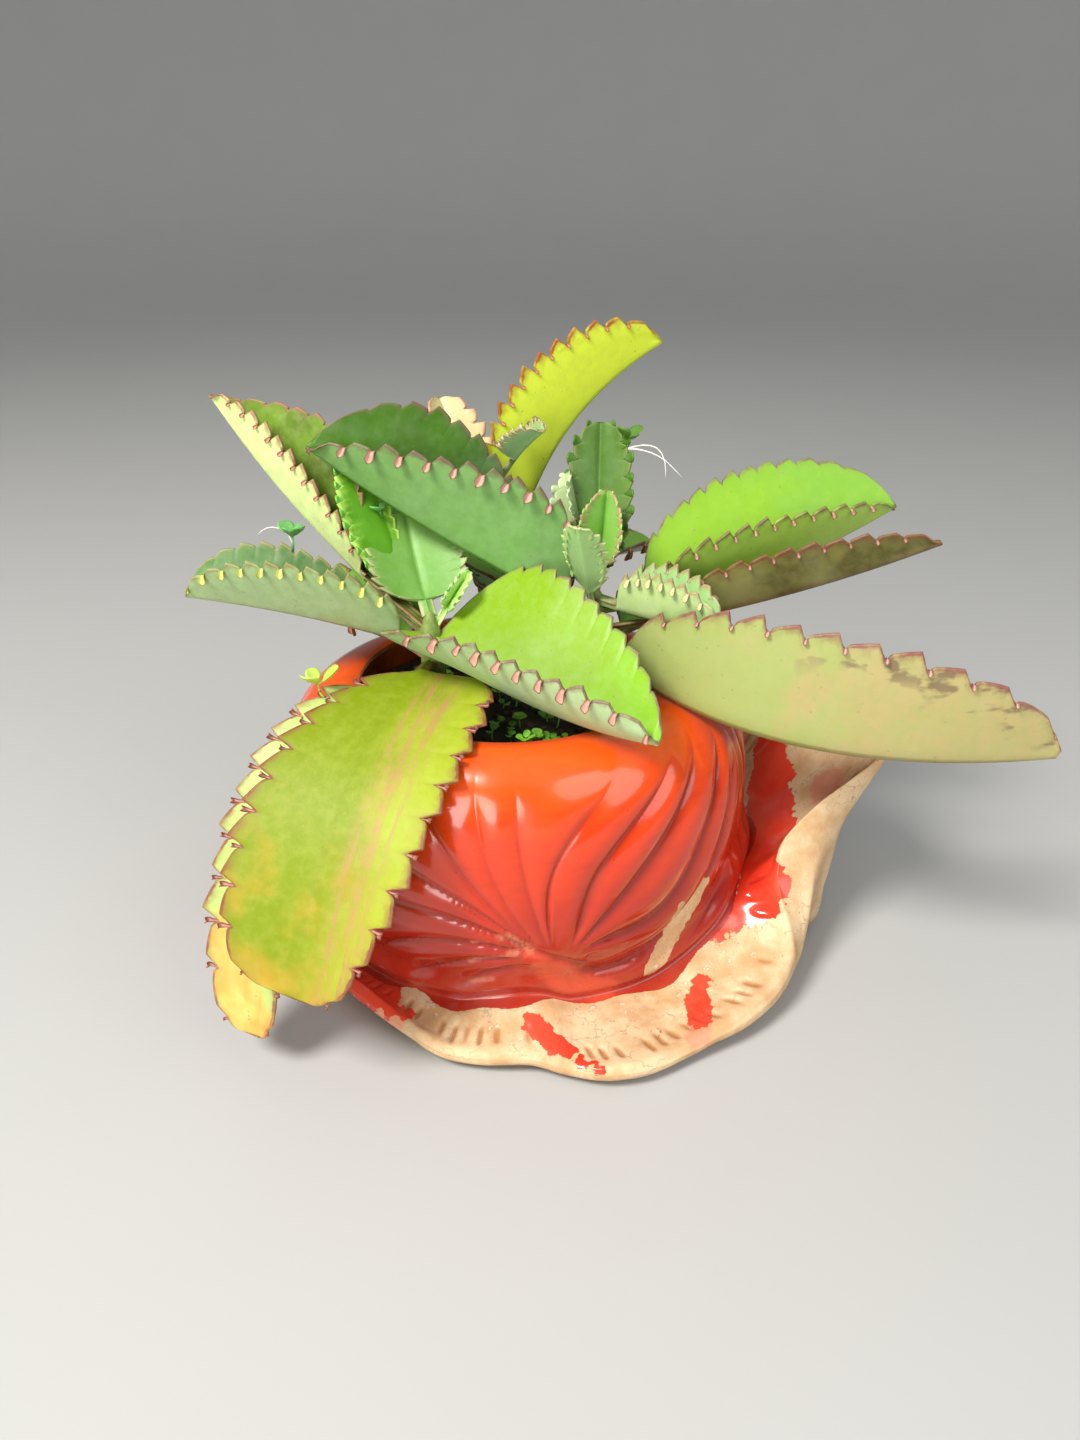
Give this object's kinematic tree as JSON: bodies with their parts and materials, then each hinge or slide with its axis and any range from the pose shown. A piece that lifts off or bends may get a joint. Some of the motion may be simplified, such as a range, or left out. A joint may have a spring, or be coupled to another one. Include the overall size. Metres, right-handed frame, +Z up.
{
  "type": "potted mother of thousands",
  "caption": "Potted mother of thousands: a leafy succulent with toothed leaves that carry plantlets, in a round ceramic pot shaped like a seashell with a wavy flared lip.",
  "frame": {"origin": "on the surface that the pot stands on, in the middle of the pot's flat foot, straight under the centre of its round mouth", "axes": "+Z up; -Y towards the front, where the ribs of the shell meet; +X towards the side where the lip flares out highest"},
  "size_m": [0.2482, 0.1896, 0.1917],
  "materials": {
    "glaze": "gloss",
    "soil": "matte",
    "stem": "satin",
    "leaf_fresh": "satin",
    "leaf_yellow": "satin",
    "leaf_olive": "satin",
    "leaf_blue": "satin",
    "leaf_dark": "satin",
    "leaf_pale": "satin",
    "leaf_blush": "satin"
  },
  "bodies": {
    "root": {"shell_pot": "glaze", "soil": "soil", "stem_left": "stem", "stem_right": "stem", "stem_back": "stem", "leaf_drooping": "leaf_yellow", "leaf_drooping_low": "leaf_olive", "leaf_front": "leaf_fresh", "leaf_across": "leaf_blue", "leaf_upper_left": "leaf_olive", "leaf_left": "leaf_blue", "leaf_left_back": "leaf_dark", "leaf_left_round": "leaf_blue", "leaf_behind": "leaf_blush", "leaf_tall": "leaf_yellow", "leaf_upper_right": "leaf_fresh", "leaf_right": "leaf_olive", "leaf_lower_right": "leaf_pale", "leaf_back_left": "leaf_fresh", "leaf_back": "leaf_olive", "leaf_back_right": "leaf_fresh", "leaf_right_back": "leaf_fresh", "leaf_left_rear": "leaf_fresh", "young_leaf_left": "leaf_fresh", "young_leaf_hooked": "leaf_blue", "young_leaf_shaded": "leaf_dark", "young_leaf_edge": "leaf_pale", "young_leaf_middle": "leaf_dark", "young_leaf_pale": "leaf_blue", "young_leaf_right": "leaf_blue"}
  },
  "joints": []
}
